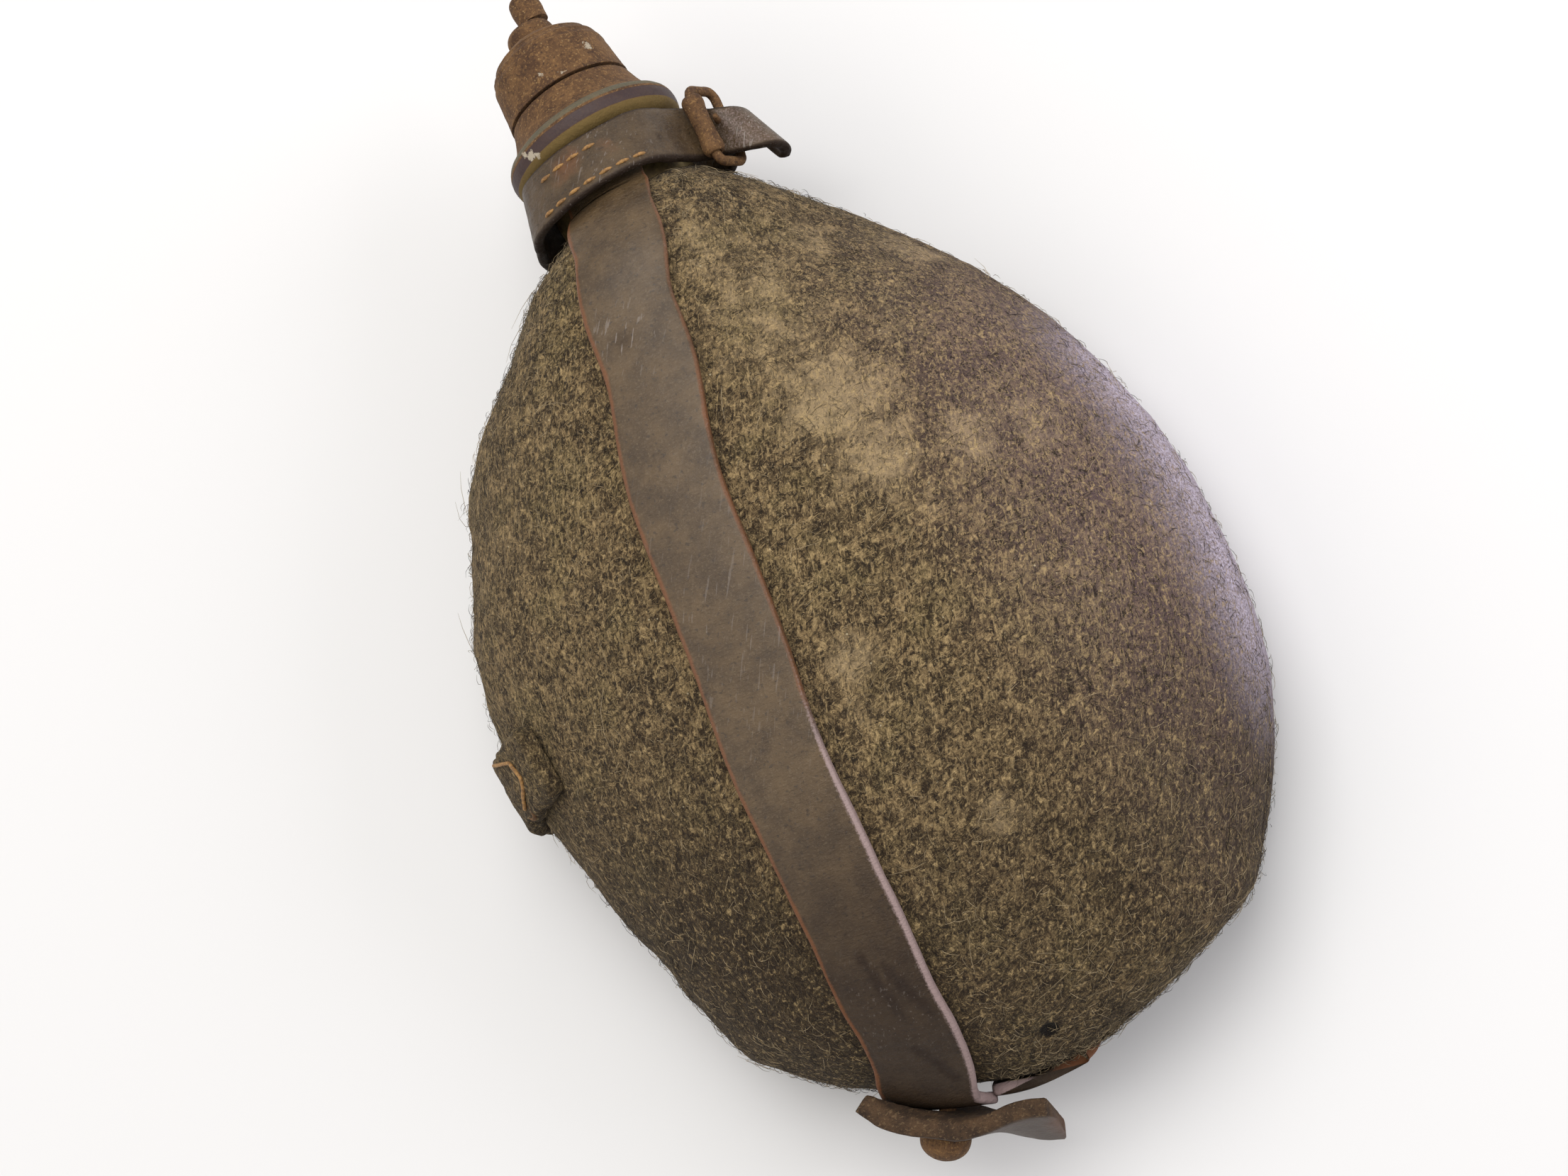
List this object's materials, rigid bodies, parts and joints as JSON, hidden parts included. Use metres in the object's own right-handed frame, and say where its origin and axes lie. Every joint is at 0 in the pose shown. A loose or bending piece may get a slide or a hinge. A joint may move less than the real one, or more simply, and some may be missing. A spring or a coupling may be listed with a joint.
{
  "type": "felt_covered_canteen",
  "caption": "Old pear-shaped field canteen in a grey-brown felt cover, with a leather harness, roller buckle, bottom tab and stud, and a rusted screw cap with a short spout.",
  "frame": {"origin": "middle of the bounding box, on the surface the canteen lies on", "axes": "+Y from the bottom to the spout, +Z from the resting side to the strap side, +X to the buckle side"},
  "size_m": [0.1563, 0.2641, 0.0758],
  "materials": {
    "felt": "grey-brown wool felt, worn and matted",
    "leather": "smooth dark brown strap leather, scuffed at the edges",
    "rough_leather": "thick brown leather with a rough fibrous edge",
    "rust": "steel covered in fine brown rust, old paint in patches",
    "tin": "dull tinned sheet steel",
    "brass": "dull brass",
    "rubber": "black rubber washer"
  },
  "bodies": {
    "root": {"flask_body": "tin", "thread_sleeve": "brass", "cover_front": "felt", "cover_back": "felt", "cover_tab": "felt", "cover_hook": "rust", "neck_cone": "rust", "neck_strap": "leather", "buckle_frame": "rust", "front_strap": "leather", "back_strap": "leather", "bottom_tab": "rough_leather", "stud": "rust", "stud_washer": "brass"},
    "cap_lift": {"cap_seal": "rubber"},
    "cap": {"cap_drum": "rust", "cap_boss": "rust", "spout_tube": "rust"},
    "roller": {"buckle_roller": "rust"},
    "prong": {"buckle_prong": "rust"}
  },
  "joints": [
    {"name": "cap_rise", "type": "slide", "parent": "root", "child": "cap_lift", "axis": [0, 1, 0], "range_m": [0, 0.009]},
    {"name": "cap_turn", "type": "hinge", "parent": "cap_lift", "child": "cap", "pos_m": [0.0112, 0.112, 0.038], "axis": [0, 1, 0], "range_deg": [0, 1080]},
    {"name": "roller_turn", "type": "hinge", "parent": "root", "child": "roller", "pos_m": [0.0344, 0.0802, 0.0462], "axis": [0.105, 0.9945, 0], "continuous": true},
    {"name": "prong_swing", "type": "hinge", "parent": "root", "child": "prong", "pos_m": [0.0375, 0.0802, 0.0378], "axis": [0.105, 0.9945, 0], "range_deg": [0, 6]}
  ],
  "couplings": [
    {"joint": "cap_rise", "follows": "cap_turn", "m_per_rad": 0.00047746}
  ]
}
